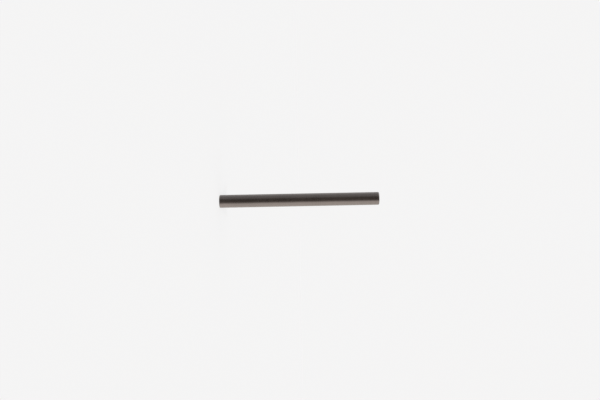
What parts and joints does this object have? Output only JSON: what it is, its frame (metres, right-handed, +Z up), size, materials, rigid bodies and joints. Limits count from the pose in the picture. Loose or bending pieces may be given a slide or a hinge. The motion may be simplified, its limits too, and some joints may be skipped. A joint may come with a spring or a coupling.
{
  "type": "pressure pin",
  "caption": "Plain round steel pin with flat chamfered ends that slides endwise in a guide and passes a push from one part to the next.",
  "frame": {"origin": "centre of the lower end face, on the surface that the pin stands on", "axes": "+Z up along the pin's own axis; the pin is round, so +X and +Y are any two square directions across it"},
  "size_m": [0.005, 0.005, 0.0625],
  "materials": {
    "ground_steel": "ground, dark and slightly warm, with a thin film of oil"
  },
  "bodies": {
    "root": {"pin": "ground_steel"}
  },
  "joints": []
}
